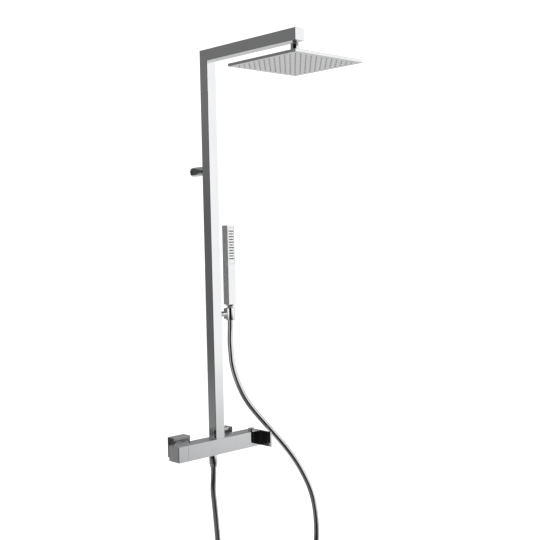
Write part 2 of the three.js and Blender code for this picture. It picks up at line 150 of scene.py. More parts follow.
def rounded(outline, radius, steps=3):
    """An open outline of (radius, height) points with an arc at each inner corner."""
    points = [Vector(outline[0])]
    for a, b, c in zip(outline, outline[1:], outline[2:]):
        a, b, c = Vector(a), Vector(b), Vector(c)
        before, after = a - b, c - b
        size = min(radius, before.length * ARC_SHARE, after.length * ARC_SHARE)
        start = b + before.normalized() * size
        end = b + after.normalized() * size
        for i in range(steps + 1):
            t = i / steps
            points.append((1 - t) ** 2 * start + 2 * t * (1 - t) * b + t * t * end)
    points.append(Vector(outline[-1]))
    return [tuple(p) for p in points]


AXES = {  # each turns local z onto its axis
    "x": Matrix(((0, 0, 1), (1, 0, 0), (0, 1, 0))),
    "y": Matrix(((0, 1, 0), (0, 0, 1), (1, 0, 0))),
    "z": Matrix.Identity(3),
}


def arc(radius, first, step, count):
    """Points of (radius, height) on a circle round the origin, at even steps in degrees."""
    return [
        (radius * math.cos(a), radius * math.sin(a))
        for a in (math.radians(first + step * i) for i in range(count))
    ]


def lathe(bm, outline, centre, axis="z", sides=72, shape=None):
    """Turns an outline of (radius, height) points, in millimetres, about an axis through centre.

    shape(angle, radius, height) may change the radius round the turn.
    """
    turn = AXES[axis]
    rings = []
    for r, h in outline:
        if r < TINY:
            rings.append([bm.verts.new(centre + turn @ Vector((0, 0, h * MM)))])
            continue
        ring = []
        for i in range(sides):
            a = 2 * math.pi * i / sides
            radius = shape(a, r, h) if shape else r
            local = Vector((radius * math.cos(a), radius * math.sin(a), h)) * MM
            ring.append(bm.verts.new(centre + turn @ local))
        rings.append(ring)
    for low, high in zip(rings, rings[1:]):
        join_rings(bm, low, high)


def join_rings(bm, low, high):
    """Faces between two closed rings of as many points, either of which may be a single point."""
    if len(low) == 1 and len(high) == 1:
        return
    count = max(len(low), len(high))
    for i in range(count):
        j = (i + 1) % count
        if len(low) == 1:
            bm.faces.new((low[0], high[i], high[j]))
        elif len(high) == 1:
            bm.faces.new((low[i], high[0], low[j]))
        else:
            bm.faces.new((low[i], low[j], high[j], high[i]))


def box(bm, low, high):
    """Adds a box between two corners and returns its faces."""
    made = bmesh.ops.create_cube(bm, size=1)["verts"]
    low, high = Vector(low), Vector(high)
    for v in made:
        v.co = Vector(low[i] + (v.co[i] + 0.5) * (high[i] - low[i]) for i in range(3))
    return sorted({f for v in made for f in v.link_faces}, key=lambda f: f.index)


def bevelled(piece, width):
    """Rounds a piece's sharp edges to a width in mm, and keeps its flat faces flat to look at."""
    bevel = piece.modifiers.new("bevel", "BEVEL")
    bevel.width = width * MM
    bevel.segments = BEVEL_SEGMENTS
    bevel.limit_method = "ANGLE"
    bevel.angle_limit = BEVEL_ANGLE
    bevel.harden_normals = True
    return piece


# ---- places taken from the frame ----
def centre_of(node):
    """The middle of a node's box."""
    low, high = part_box(node)
    return (low + high) / 2


COLUMN_LOW, COLUMN_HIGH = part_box("riser_tube")
ARM_LOW, ARM_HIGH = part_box("overhead_arm")


# ---- hose ----
HOSE_DIAMETER = 0.015
# The route of the hose from the handset's cone nut to the outlet under the mixer, in metres.
HOSE_ROUTE = [
    (0.067, -0.070, 0.3327), (0.067, -0.070, 0.315), (0.066, -0.070, 0.295),
    (0.064, -0.071, 0.270), (0.064, -0.073, 0.240), (0.065, -0.076, 0.209),
    (0.071, -0.080, 0.178), (0.082, -0.085, 0.144), (0.100, -0.091, 0.107),
    (0.127, -0.097, 0.071), (0.157, -0.102, 0.037), (0.187, -0.106, 0.004),
    (0.218, -0.110, -0.031), (0.246, -0.114, -0.066), (0.269, -0.118, -0.100),
    (0.287, -0.123, -0.134), (0.301, -0.128, -0.168), (0.310, -0.132, -0.203),
    (0.313, -0.136, -0.237), (0.313, -0.139, -0.279), (0.309, -0.140, -0.325),
    (0.298, -0.137, -0.376), (0.275, -0.130, -0.426), (0.238, -0.120, -0.466),
    (0.192, -0.109, -0.490), (0.143, -0.097, -0.494), (0.098, -0.086, -0.477),
    (0.062, -0.076, -0.441), (0.037, -0.069, -0.392), (0.021, -0.065, -0.338),
    (0.011, -0.064, -0.280), (0.006, -0.064, -0.225), (0.001, -0.064, -0.167),
    (-0.003, -0.064, -0.125), (-0.001, -0.064, -0.093), (0.000, -0.064, -0.075),
    (0.000, -0.064, -0.0603),
]
HOSE_SPLIT = 5  # the route point where the upper length meets the lower one
BLEND_END = 0  # an end height that goes with the lower length
HOSE_SIDES = 20
TURN_PITCH = 0.0034  # one turn of the wound strip
# One turn of the strip: share of the pitch, and how far below full size the surface lies.
TURN_SECTION = [(0.0, 0.0006), (0.1, 0.0006), (0.12, 0.0), (0.2, 0.0), (0.9, 0.0), (0.98, 0.0)]


def smooth_route(points, step=0.001):
    """Points about a step apart on a smooth curve through the given ones."""
    places = [Vector(p) for p in points]
    ends = [2 * places[0] - places[1], *places, 2 * places[-1] - places[-2]]
    found = []
    for a, b, c, d in zip(ends, ends[1:], ends[2:], ends[3:]):
        count = max(2, round((c - b).length / step))
        for i in range(count):
            t = i / count
            found.append(0.5 * (
                2 * b + (c - a) * t + (2 * a - 5 * b + 4 * c - d) * t ** 2
                + (3 * b - a - 3 * c + d) * t ** 3
            ))
    found.append(places[-1])
    return found


def route_length(points):
    """The length of a line through the points."""
    return sum((b - a).length for a, b in zip(points, points[1:]))


def at_distance(points):
    """A function from distance along the points to place and direction.

    It is called with distances that only grow.
    """
    marks = [0.0]
    for a, b in zip(points, points[1:]):
        marks.append(marks[-1] + (b - a).length)
    i = 0

    def place(distance):
        nonlocal i
        while i < len(points) - 2 and marks[i + 1] < distance:
            i += 1
        share = (distance - marks[i]) / (marks[i + 1] - marks[i])
        low, high = points[max(i - 2, 0)], points[min(i + 3, len(points) - 1)]
        return points[i].lerp(points[i + 1], share), (high - low).normalized()

    return place


def hose_length(name, points):
    """A length of hose wound from a metal strip, as a tube with a groove at each turn."""
    bm = bmesh.new()
    total = route_length(points)
    place = at_distance(points)
    turns = round(total / TURN_PITCH)
    side = Vector((1, 0, 0))
    rings = []
    for turn in range(turns + 1):
        for share, depth in TURN_SECTION:
            distance = (turn + share) * total / turns
            if distance > total + TINY:
                break
            centre, along = place(min(distance, total))
            side = (side - along * side.dot(along)).normalized()
            other = along.cross(side)
            radius = HOSE_DIAMETER / 2 - depth
            rings.append([
                bm.verts.new(centre + radius * (side * math.cos(a) + other * math.sin(a)))
                for a in (2 * math.pi * i / HOSE_SIDES for i in range(HOSE_SIDES))
            ])
    for low, high in zip(rings, rings[1:]):
        join_rings(bm, low, high)
    bm.faces.new(rings[0][::-1])
    bm.faces.new(rings[-1])
    return new_object(name, bm, sharp=60)


def make_hose(material):
    """The hose in two lengths, because a length can bend between two bodies only."""
    whole = smooth_route(HOSE_ROUTE)
    split = Vector(HOSE_ROUTE[HOSE_SPLIT])
    meeting = min(range(len(whole)), key=lambda i: (whole[i] - split).length)
    lengths = {
        "hose_upper": (whole[:meeting + 1], "handset", "holder", whole[meeting].z),
        "hose_lower": (whole[meeting:], "holder", "column", BLEND_END),
    }
    for name, (points, first, second, end_height) in lengths.items():
        piece = hose_length(name, points)
        piece.data.materials.append(material)
        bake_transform(piece)
        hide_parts("shower_hose")


# ---- material helpers ----
NOISE_LOW, NOISE_HIGH = 0.3, 0.7  # the part of a noise's range that holds most of its values
METAL_DRIFT, METAL_BUMP = 14, 0.15  # scale of the uneven tone, and strength of the grain
MOULDED_DRIFT, MOULDED_BUMP = 60, 0.4


def node_material(name):
    """A new material, with its node tree and its shader."""
    material = bpy.data.materials.new(name)
    material.use_nodes = True
    tree = material.node_tree
    shader = tree.nodes["Principled BSDF"]
    return material, tree, shader


def object_coordinates(tree, scale=(1, 1, 1)):
    coordinates = tree.nodes.new("ShaderNodeTexCoord")
    mapping = tree.nodes.new("ShaderNodeMapping")
    mapping.inputs["Scale"].default_value = scale
    tree.links.new(coordinates.outputs["Object"], mapping.inputs["Vector"])
    return mapping.outputs["Vector"]


def noise(tree, vector, scale, detail):
    made = tree.nodes.new("ShaderNodeTexNoise")
    made.inputs["Scale"].default_value = scale
    made.inputs["Detail"].default_value = detail
    tree.links.new(vector, made.inputs["Vector"])
    return made.outputs["Fac"]


def spread(tree, value, low, high):
    """A noise turned into numbers from low to high."""
    made = tree.nodes.new("ShaderNodeMapRange")
    made.inputs["From Min"].default_value = NOISE_LOW
    made.inputs["From Max"].default_value = NOISE_HIGH
    made.inputs["To Min"].default_value = low
    made.inputs["To Max"].default_value = high
    tree.links.new(value, made.inputs["Value"])
    return made.outputs["Result"]


def tint(tree, value, dark, light):
    """A noise turned into colours from dark to light."""
    ramp = tree.nodes.new("ShaderNodeValToRGB")
    ramp.color_ramp.elements[0].position = NOISE_LOW
    ramp.color_ramp.elements[1].position = NOISE_HIGH
    ramp.color_ramp.elements[0].color = (*dark, 1)
    ramp.color_ramp.elements[1].color = (*light, 1)
    tree.links.new(value, ramp.inputs["Fac"])
    return ramp.outputs["Color"]


def bump(tree, shader, height, strength, distance):
    made = tree.nodes.new("ShaderNodeBump")
    made.inputs["Strength"].default_value = strength
    made.inputs["Distance"].default_value = distance
    tree.links.new(height, made.inputs["Height"])
    tree.links.new(made.outputs["Normal"], shader.inputs["Normal"])


def metal(name, dark, light, smooth, rough, stretch=(1, 1, 1), grain=900, depth=0.00001):
    """A metal whose tone and polish drift a little, with a fine grain in its surface."""
    material, tree, shader = node_material(name)
    shader.inputs["Metallic"].default_value = 1
    wide = noise(tree, object_coordinates(tree), METAL_DRIFT, 4)
    fine = noise(tree, object_coordinates(tree, stretch), grain, 2)
    tree.links.new(tint(tree, wide, dark, light), shader.inputs["Base Color"])
    tree.links.new(spread(tree, wide, smooth, rough), shader.inputs["Roughness"])
    bump(tree, shader, fine, METAL_BUMP, depth)
    return material


def dull(name, dark, light, smooth, rough, grain=1500, depth=0.00004):
    """A moulded surface with a fine texture and a slightly uneven tone."""
    material, tree, shader = node_material(name)
    wide = noise(tree, object_coordinates(tree), MOULDED_DRIFT, 4)
    fine = noise(tree, object_coordinates(tree), grain, 3)
    tree.links.new(tint(tree, wide, dark, light), shader.inputs["Base Color"])
    tree.links.new(spread(tree, wide, smooth, rough), shader.inputs["Roughness"])
    bump(tree, shader, fine, MOULDED_BUMP, depth)
    return material


CHROME = metal("chrome", (0.86, 0.87, 0.885), (0.9, 0.905, 0.915), 0.02, 0.05)
PLATE = metal(
    "spray_plate_steel", (0.93, 0.935, 0.94), (0.97, 0.972, 0.975), 0.16, 0.24, (1, 0.06, 1), 600
)
STEEL = metal("steel", (0.62, 0.63, 0.64), (0.7, 0.71, 0.72), 0.22, 0.32)
HOSE_METAL = metal("hose_steel", (0.76, 0.77, 0.78), (0.84, 0.85, 0.86), 0.08, 0.14)
BRASS = metal("brass", (0.66, 0.5, 0.24), (0.76, 0.6, 0.32), 0.24, 0.38, (1, 1, 12))
RUBBER = dull("black_rubber", (0.012, 0.012, 0.013), (0.03, 0.03, 0.032), 0.55, 0.75)
SILICONE = dull("nozzle_silicone", (0.18, 0.183, 0.188), (0.22, 0.223, 0.228), 0.45, 0.6)
DARK_SILICONE = dull("dark_silicone", (0.02, 0.021, 0.023), (0.035, 0.036, 0.039), 0.5, 0.65)
GREY_PLASTIC = dull("cartridge_plastic", (0.3, 0.31, 0.32), (0.36, 0.37, 0.38), 0.4, 0.55)
WHITE_PLASTIC = dull("white_plastic", (0.72, 0.72, 0.7), (0.8, 0.8, 0.78), 0.3, 0.42)

SLOT_MATERIALS = {
    "chrome": CHROME,
    "steel": STEEL,
    "hose_metal": HOSE_METAL,
    "brass": BRASS,
    "seal_rubber": RUBBER,
    "nozzle_silicone": SILICONE,
    "cartridge_plastic": GREY_PLASTIC,
    "white_plastic": WHITE_PLASTIC,
}
make_hose(HOSE_METAL)


# ---- carried-over CAD nodes ----
PLAIN_EDGE = 0.2  # mm
WELD_DISTANCE = 0.02 * MM
EDGE_RADIUS = {  # mm, of the nodes whose edges show
    "mixer_body": 0.5,
    "diverter_knob": 0.5,
    "temperature_handle": 0.4,
    "temperature_lever_plate": 0.6,
    "left_escutcheon": 0.8,
    "right_escutcheon": 0.8,
    "arm_end_cap": 0.3,
    "handset_body": 0.6,
}


def dress_nodes():
    """Gives every CAD node its material and rounded edges."""
    for part in frame["record"]["subparts"]:
        node = NODES[part["node"]]
        node.data.materials.clear()
        node.data.materials.append(SLOT_MATERIALS[part["material_slot"]])
        weld = node.modifiers.new("weld", "WELD")
        weld.merge_threshold = WELD_DISTANCE
        bevelled(node, EDGE_RADIUS.get(part["node"], PLAIN_EDGE))


dress_nodes()


# ---- column tubes ----
TUBE_WALL = 1.5 * MM
TUBE_CORNER = 1.4 * MM
CORNER_STEPS = 5


def square_ring(low, high, corner):
    """Points round a square with rounded corners, from its (a, b) low and high corners."""
    found = []
    centres = [
        (high[0] - corner, high[1] - corner), (low[0] + corner, high[1] - corner),
        (low[0] + corner, low[1] + corner), (high[0] - corner, low[1] + corner),
    ]
    for quarter, (a, b) in enumerate(centres):
        for i in range(CORNER_STEPS + 1):
            angle = (quarter + i / CORNER_STEPS) * math.pi / 2
            found.append((a + corner * math.cos(angle), b + corner * math.sin(angle)))
    return found


def square_tube(name, low, high, first, last):
    """A hollow square tube; first and last turn a section point into its two ends."""
    bm = bmesh.new()
    wall = TUBE_WALL
    outer = square_ring(low, high, TUBE_CORNER)
    inner = square_ring(
        (low[0] + wall, low[1] + wall), (high[0] - wall, high[1] - wall), TUBE_CORNER / 3
    )
    loops = [
        [bm.verts.new(end(*p)) for p in ring]
        for ring, end in ((outer, first), (outer, last), (inner, last), (inner, first))
    ]
    for a, b in zip(loops, [*loops[1:], loops[0]]):
        join_rings(bm, a, b)
    piece = new_object(name, bm, sharp=40)
    weighted = piece.modifiers.new("weighted", "WEIGHTED_NORMAL")
    weighted.keep_sharp = True
    return piece


def column_tubes():
    """The riser and the overhead arm, which meet in a mitre at the corner."""
    mitre = COLUMN_HIGH.z - COLUMN_HIGH.y
    riser = square_tube(
        "riser_shell", COLUMN_LOW.xy, COLUMN_HIGH.xy,
        lambda x, y: (x, y, COLUMN_LOW.z),
        lambda x, y: (x, y, y + mitre),
    )
    stands_for(riser, "riser_tube", CHROME)
    arm = square_tube(
        "arm_shell", ARM_LOW.xz, ARM_HIGH.xz,
        lambda x, z: (x, ARM_LOW.y, z),
        lambda x, z: (x, z - mitre, z),
    )
    stands_for(arm, "overhead_arm", CHROME)


column_tubes()


# ---- turned pieces ----
def turned_piece(name, node, slot, outline, centre, axis="z", corner=0.4, **more):
    """A turned piece in place of a node. Its outline is in millimetres, as for lathe."""
    bm = bmesh.new()
    lathe(bm, rounded(outline, corner), centre, axis, **more)
    return stands_for(new_object(name, bm), node, SLOT_MATERIALS[slot])


def wall_fixing():
    """The round post that ties the column to the wall, its flange and its rubber ring."""
    low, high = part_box("wall_post")
    centre = Vector(((low.x + high.x) / 2, 0, (low.z + high.z) / 2))
    radius = (high.x - low.x) / 2 / MM
    front, back = low.y / MM, high.y / MM
    turned_piece(
        "wall_post_shell", "wall_post", "chrome",
        [(0, front), (radius - 5, front), (radius, front + 4.3), (radius, back), (9, back),
         (9, back - 7), (0, back - 7)],
        centre, "y", 0.8,
    )
    turned_piece(
        "wall_flange_shell", "wall_flange", "chrome",
        [(0, -2), (2.6, -2), (2.6, -11.6), (8.6, -11.6), (8.6, -4.7), (radius, -4.7),
         (radius, 0), (0, 0)],
        centre, "y", 0.5,
    )
    ring_low, ring_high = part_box("post_neck_ring")
    turned_piece(
        "neck_ring_shell", "post_neck_ring", "seal_rubber",
        [(5.5, ring_low.y / MM), (7.4, ring_low.y / MM), (7.4, ring_high.y / MM),
         (5.5, ring_high.y / MM), (5.5, ring_low.y / MM)],
        centre, "y", 0.6,
    )


wall_fixing()


# ---- ball joint and rain head ----
HEAD_LOW, HEAD_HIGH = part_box("head_shell")
COLUMN_HALF = 15 * MM
HEAD_HALF = 114 * MM
BALL = Vector((COLUMN_LOW.x + COLUMN_HALF, HEAD_LOW.y + HEAD_HALF, 1.0))
# In millimetres:
BALL_RADIUS = 6.5
SEAT_RADIUS = 8.1  # the inside of the nut, round the ball's seats
NUT_RADIUS = 10.5
NUT_FLATS = 9.8  # from the nut's axis to its two flats
COVER_THICKNESS = 7
COVER_RIM = 2
COVER_RECESS = 5.3
NOZZLES = 12  # along each side of the head
NOZZLE_PITCH = 17.1
NOZZLE_HOLE = 2.4  # radius
HEAD_NOZZLE = [(0, -0.7), (0.5, -0.7), (0.7, -1.2), (1.2, -1.15), (1.6, 0.1), (1.8, 2.3)]


def from_flat(angle):
    """The angle from the middle of the nearest side of a hexagon."""
    return (angle + math.pi / 6) % (math.pi / 3) - math.pi / 6


def nut_section(flat, corner):
    """A shape for lathe that flattens a round into six sides, cut off at the corner radius."""
    def shape(angle, radius, height):
        if radius < corner - 1.5:  # the bore and the chamfers stay round
            return radius
        return min(radius, flat / math.cos(from_flat(angle)))
    return shape


def ball_joint():
    """The ball on its stem, a black band of painted shade on the neck in the nut's mouth, and the
    nut that holds the head.
    """
    ball = arc(BALL_RADIUS, -72, 4, 32)
    top = (ARM_LOW.z - BALL.z) / MM
    bm = bmesh.new()
    neck = rounded(
        [(4, 5.6), (4, 11.3), (6.4, 11.6), (6.4, top - 0.3), (5, top - 0.3), (5, top + 13)],
        0.4,
    )
    lathe(bm, [(0, ball[0][1]), *ball, *neck, (0, top + 13)], BALL)
    stands_for(new_object("ball_stem_shell", bm), "ball_stem", CHROME)
    # A black band round the neck where it sits in the nut's mouth: painted shade in the gap
    # between the nut and the stem.
    bm = bmesh.new()
    lathe(bm, rounded([(3.9, 8.2), (4.3, 8.2), (4.3, 11.3), (3.9, 11.3), (3.9, 8.2)], 0.1), BALL)
    neck_shade = new_object("ball_neck_painted_shade", bm)
    neck_shade.data.materials.append(RUBBER)
    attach(neck_shade, "column")
    inside = arc(SEAT_RADIUS, -45, 8, 11)
    outside = rounded(
        [(6.9, 9.2), (9.3, 9.2), (NUT_RADIUS, 8), (NUT_RADIUS, -6.6), (9.6, -7.6), (6.2, -7.6),
         (5.7, -5.8)],
        0.5,
    )

    def flats(angle, radius, height):
        if -6 < height < -1 and radius > NUT_RADIUS - 0.5:
            return min(radius, NUT_FLATS / max(abs(math.cos(angle)), 0.2))
        return radius

    bm = bmesh.new()
    lathe(bm, [*inside, *outside], BALL, shape=flats)
    stands_for(new_object("ball_nut_shell", bm), "ball_nut", CHROME)


ball_joint()


def head_cover():
    """The thin square cover with its turned hub."""
    bm = bmesh.new()
    underside, top = HEAD_LOW.z, HEAD_LOW.z + COVER_THICKNESS * MM
    faces = box(bm, HEAD_LOW, (HEAD_HIGH.x, HEAD_HIGH.y, top))
    below = [f for f in faces if f.calc_center_median().z < underside + TINY]
    bmesh.ops.inset_region(bm, faces=below, thickness=COVER_RIM * MM)
    recess = bmesh.ops.extrude_face_region(bm, geom=below)
    bmesh.ops.delete(bm, geom=below, context="FACES_ONLY")
    for v in recess["geom"]:
        if isinstance(v, bmesh.types.BMVert):
            v.co.z += COVER_RECESS * MM
    centre = Vector((BALL.x, BALL.y, top))
    hub = [(22, -0.5), (22, 0.9)]
    hub += [
        (21.5 - 12 * math.sin(t), 1.3 + 25.5 * (1 - math.cos(t)))
        for t in (math.radians(90 * i / 14) for i in range(15))
    ]
    hub += [(9, 26.8), (2.5, 26.8), (2.5, -0.5)]
    lathe(bm, rounded(hub, 0.3), centre)
    piece = bevelled(new_object("head_cover", bm), 0.8)
    stands_for(piece, "head_shell", CHROME)


def perforated(bm, xs, ys, centres, radius, low, high, steps=4):
    """A plate with a round hole at each crossing of the cells whose edges are xs and ys."""
    corners = {}

    def corner(x, y, z):
        key = (round(x, 7), round(y, 7), round(z, 7))
        if key not in corners:
            corners[key] = bm.verts.new((x, y, z))
        return corners[key]

    count = steps * 4
    for (x0, x1, cx) in zip(xs, xs[1:], centres[0]):
        for (y0, y1, cy) in zip(ys, ys[1:], centres[1]):
            square = [(x1, y1), (x0, y1), (x0, y0), (x1, y0)]
            border = []
            for (ax, ay), (bx, by) in zip(square, [*square[1:], square[0]]):
                border += [
                    (ax + (bx - ax) * i / steps, ay + (by - ay) * i / steps) for i in range(steps)
                ]
            rings = []
            for z in (low, high):
                edge = [corner(x, y, z) for x, y in border]
                hole = [
                    bm.verts.new((cx + radius * math.cos(a), cy + radius * math.sin(a), z))
                    for a in (math.pi / 4 + 2 * math.pi * i / count for i in range(count))
                ]
                join_rings(bm, edge, hole)
                rings.append(hole)
            join_rings(bm, *rings)


def spray_face():
    """The perforated plate, and behind it the mat whose nozzles stand through the holes."""
    low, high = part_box("spray_plate")
    middle = (low + high) / 2
    offsets = [(i - (NOZZLES - 1) / 2) * NOZZLE_PITCH * MM for i in range(NOZZLES)]
    centres = ([middle.x + o for o in offsets], [middle.y + o for o in offsets])
    edges = [[c - NOZZLE_PITCH * MM / 2 for c in line[1:]] for line in centres]
    xs = [low.x, *edges[0], high.x]
    ys = [low.y, *edges[1], high.y]
    bm = bmesh.new()
    perforated(bm, xs, ys, centres, NOZZLE_HOLE * MM, low.z, high.z)
    piece = new_object("spray_face", bm)
    stands_for(piece, "spray_plate", PLATE)

    mat_low, mat_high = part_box("nozzle_mat")
    bm = bmesh.new()
    box(bm, mat_low, mat_high)
    for x in centres[0]:
        for y in centres[1]:
            lathe(bm, HEAD_NOZZLE, Vector((x, y, low.z)), sides=12)
    piece = new_object("nozzle_mat_shell", bm)
    stands_for(piece, "nozzle_mat", SILICONE)


head_cover()
spray_face()


# ---- handset holder and handset ----
CUP_RADIUS = 11.8  # mm
CUP_SLOT = 7.8  # mm, half the width of the slot that lets the hose in
CUP_STEPS = 60
BLOCK_HALF = Vector((0, 7.5 * MM, 14.5 * MM))


def holder_parts():
    """The pin that the holder tilts on, and the slotted cup with the block behind it."""
    low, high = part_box("holder_pin")
    axis_place = Vector((0, (low.y + high.y) / 2, (low.z + high.z) / 2))
    lug_low, lug_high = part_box("handset_holder")
    left, right = low.x / MM + 3.3, lug_low.x / MM - 0.3
    turned_piece(
        "holder_pin_shell", "holder_pin", "chrome",
        [(0, left - 3), (5, left - 3), (5, left), (7, left), (7, right), (3.5, right),
         (3.5, right + 4.5), (0, right + 4.5)],
        axis_place, "x", 0.6,
    )
    cup = Vector((centre_of("hose_cone_nut").x, axis_place.y, 0))
    cup_low, cup_high = lug_low.z / MM, lug_high.z / MM
    outer = CUP_RADIUS
    opening = math.asin(CUP_SLOT / outer)
    outline = rounded(
        [(outer - 1.2, cup_low), (outer, cup_low + 1), (outer, cup_high - 0.6),
         (outer - 0.6, cup_high), (10.4, cup_high), (9.9, cup_high - 0.6),
         (8.9, cup_low + 0.6), (9.4, cup_low), (outer - 1.2, cup_low)],
        0.3,
    )
    bm = bmesh.new()
    sections = []
    for i in range(CUP_STEPS + 1):
        a = opening + (2 * math.pi - 2 * opening) * i / CUP_STEPS
        sections.append([
            bm.verts.new(cup + Vector((r * math.cos(a), r * math.sin(a), z)) * MM)
            for r, z in outline[:-1]
        ])
    for a, b in zip(sections, sections[1:]):
        join_rings(bm, a, b)
    bm.faces.new(sections[0])
    bm.faces.new(sections[-1][::-1])
    block = bmesh.new()
    box(
        block,
        Vector((lug_low.x, axis_place.y, axis_place.z)) - BLOCK_HALF,
        Vector((cup.x - 9.8 * MM, axis_place.y, axis_place.z)) + BLOCK_HALF,
    )
    bmesh.ops.bevel(
        block, geom=list(block.edges), offset=1.2 * MM, segments=4, affect="EDGES", profile=0.5
    )
    spare = bpy.data.meshes.new("block")
    block.to_mesh(spare)
    block.free()
    bm.from_mesh(spare)
    bpy.data.meshes.remove(spare)
    stands_for(new_object("holder_cup", bm, sharp=50), "handset_holder", CHROME)


holder_parts()

HANDSET_LOW, HANDSET_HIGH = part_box("handset_body")
HANDSET_ROWS = 11  # of nozzles
ROW_START = 9.5  # mm, from the top of the strip to the first row
ROW_PITCH = 7.4  # mm
SIDE_PITCH = 3.4  # mm, between the nozzles of a row
NUT_RIBS, RIB_DEPTH = 28, 0.12  # ribs round the cone nut, and their depth in mm
HANDSET_NOZZLE = [(0, -0.15), (0.4, -0.2), (0.7, -0.6), (1.4, -0.5), (1.85, 0.1), (1.9, 0.6)]


def handset_parts():
    """The handset's tail and cone nut, and its strip with the rows of nozzles."""
    centre = (HANDSET_LOW + HANDSET_HIGH) / 2
    place = Vector((centre.x, centre.y, 0))
    base = HANDSET_LOW.z / MM
    turned_piece(
        "handset_tail_shell", "handset_tail", "chrome",
        [(3.5, base - 16), (5.8, base - 16), (5.8, base - 7), (9.8, base - 4), (11, base - 0.3),
         (6.7, base - 0.3), (6.7, base + 11), (3.5, base + 11), (3.5, base - 16)],
        place, "z", 0.5,
    )
    low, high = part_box("hose_cone_nut")
    bottom, top = low.z / MM, high.z / MM

    def grip(angle, radius, height):
        ribbed = bottom + 2 < height < top - 1.5
        return radius + (RIB_DEPTH * math.cos(angle * NUT_RIBS) if ribbed else 0)

    turned_piece(
        "cone_nut_shell", "hose_cone_nut", "chrome",
        [(4.5, bottom), (8.1, bottom), (8.3, bottom + 1), (9.1, top - 1), (9.0, top), (6.3, top),
         (6.3, bottom + 8), (4.5, bottom + 8), (4.5, bottom)],
        place, "z", 0.4, sides=112, shape=grip,
    )
    strip_low, strip_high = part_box("handset_nozzle_strip")
    rows = []
    for row in range(HANDSET_ROWS):
        count = 5 if row % 2 == 0 else 4
        z = strip_high.z - (ROW_START + ROW_PITCH * row) * MM
        xs = [centre.x + (i - (count - 1) / 2) * SIDE_PITCH * MM for i in range(count)]
        rows.append((z, xs))
    bm = bmesh.new()
    box(bm, strip_low, strip_high)
    piece = bevelled(new_object("nozzle_strip_plate", bm), 0.15)
    stands_for(piece, "handset_nozzle_strip", CHROME)
    bm = bmesh.new()
    for z, xs in rows:
        for x in xs:
            lathe(bm, HANDSET_NOZZLE, Vector((x, strip_low.y, z)), "y", sides=14)
    nozzles = new_object("handset_nozzles", bm)
    nozzles.data.materials.append(DARK_SILICONE)
    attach(nozzles, "handset")


handset_parts()


# ---- stop button ----
def stop_button():
    """The low round button on top of the temperature handle, with its stem."""
    low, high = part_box("temperature_stop_button")
    middle = (low + high) / 2
    bottom, top = low.z / MM, high.z / MM
    stem, radius = 4, (high.x - low.x) / 2 / MM
    turned_piece(
        "stop_button_shell", "temperature_stop_button", "chrome",
        [(0, bottom), (stem, bottom), (stem, bottom + 4.3), (radius, bottom + 4.3),
         (radius, top - 0.9), (radius - 1.2, top - 0.1), (radius / 2, top), (0, top)],
        Vector((middle.x, middle.y, 0)), "z", 0.4,
    )


stop_button()


# ---- nuts ----
def mixer_nuts():
    """The nut of the hose under the mixer, and the hexagon nuts of the two unions."""
    low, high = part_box("hose_hex_nut")
    centre = centre_of("hose_hex_nut")
    bottom, top = low.z / MM, high.z / MM
    turned_piece(
        "outlet_nut_shell", "hose_hex_nut", "chrome",
        [(4.5, bottom), (9.4, bottom), (9.4, bottom + 5), (11, bottom + 8), (11, top), (7.4, top),
         (7.4, top - 14), (4.5, top - 14), (4.5, bottom)],
        Vector((centre.x, centre.y, 0)), "z", 0.5,
    )
    for side in ("left", "right"):
        node = f"{side}_union_nut"
        low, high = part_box(node)
        middle = centre_of(node)
        front, back = low.y / MM, high.y / MM
        turned_piece(
            f"{node}_shell", node, "chrome",
            [(12.3, front), (14, front), (16, front + 1.2), (16, back - 1.2), (14, back),
             (12.3, back), (12.3, front)],
            Vector((middle.x, 0, middle.z)), "y", 0.3, shape=nut_section(14.6, 16),
        )


mixer_nuts()


# ---- screws ----
SOCKET_SHARE = 0.52  # of a set screw's radius, to the flats of its socket
SOCKET_DEPTH, SOCKET_POINT = 1.4, 1.7  # mm, at the socket's sides and in its middle
SCREW_CHAMFER = 0.3  # mm


def socket_screws():
    """Set screws with a hexagonal socket in the end that shows."""
    screws = {
        "column_grub_screw": ("y", 1), "diverter_grub_screw": ("z", -1),
        "temperature_grub_screw": ("z", -1), "post_grub_screw": ("z", -1),
    }
    for node, (axis, outward) in screws.items():
        low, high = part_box(node)
        middle = (low + high) / 2
        size = high - low
        length = size["xyz".index(axis)] / MM
        radius = min(size) / 2 / MM
        ends = (-length / 2, length / 2) if outward > 0 else (length / 2, -length / 2)
        inward = -outward
        key = radius * SOCKET_SHARE

        def socket(angle, r, height):
            return r / math.cos(from_flat(angle)) if abs(r - key) < TINY else r

        hidden, shown = ends
        bm = bmesh.new()
        lathe(
            bm,
            [(0, hidden), (radius, hidden), (radius, shown + inward * SCREW_CHAMFER),
             (radius - SCREW_CHAMFER, shown), (key, shown), (key, shown + inward * SOCKET_DEPTH),
             (0, shown + inward * SOCKET_POINT)],
            middle, axis, sides=48, shape=socket,
        )
        stands_for(new_object(f"{node}_shell", bm), node, STEEL)


socket_screws()


# ---- studio ----
def direction(x, y, z=0):
    """A direction of the world, for the places of the studio's tones."""
    return Vector((x, y, z)).normalized()


BACKDROP = 1.25  # the white that the camera sees
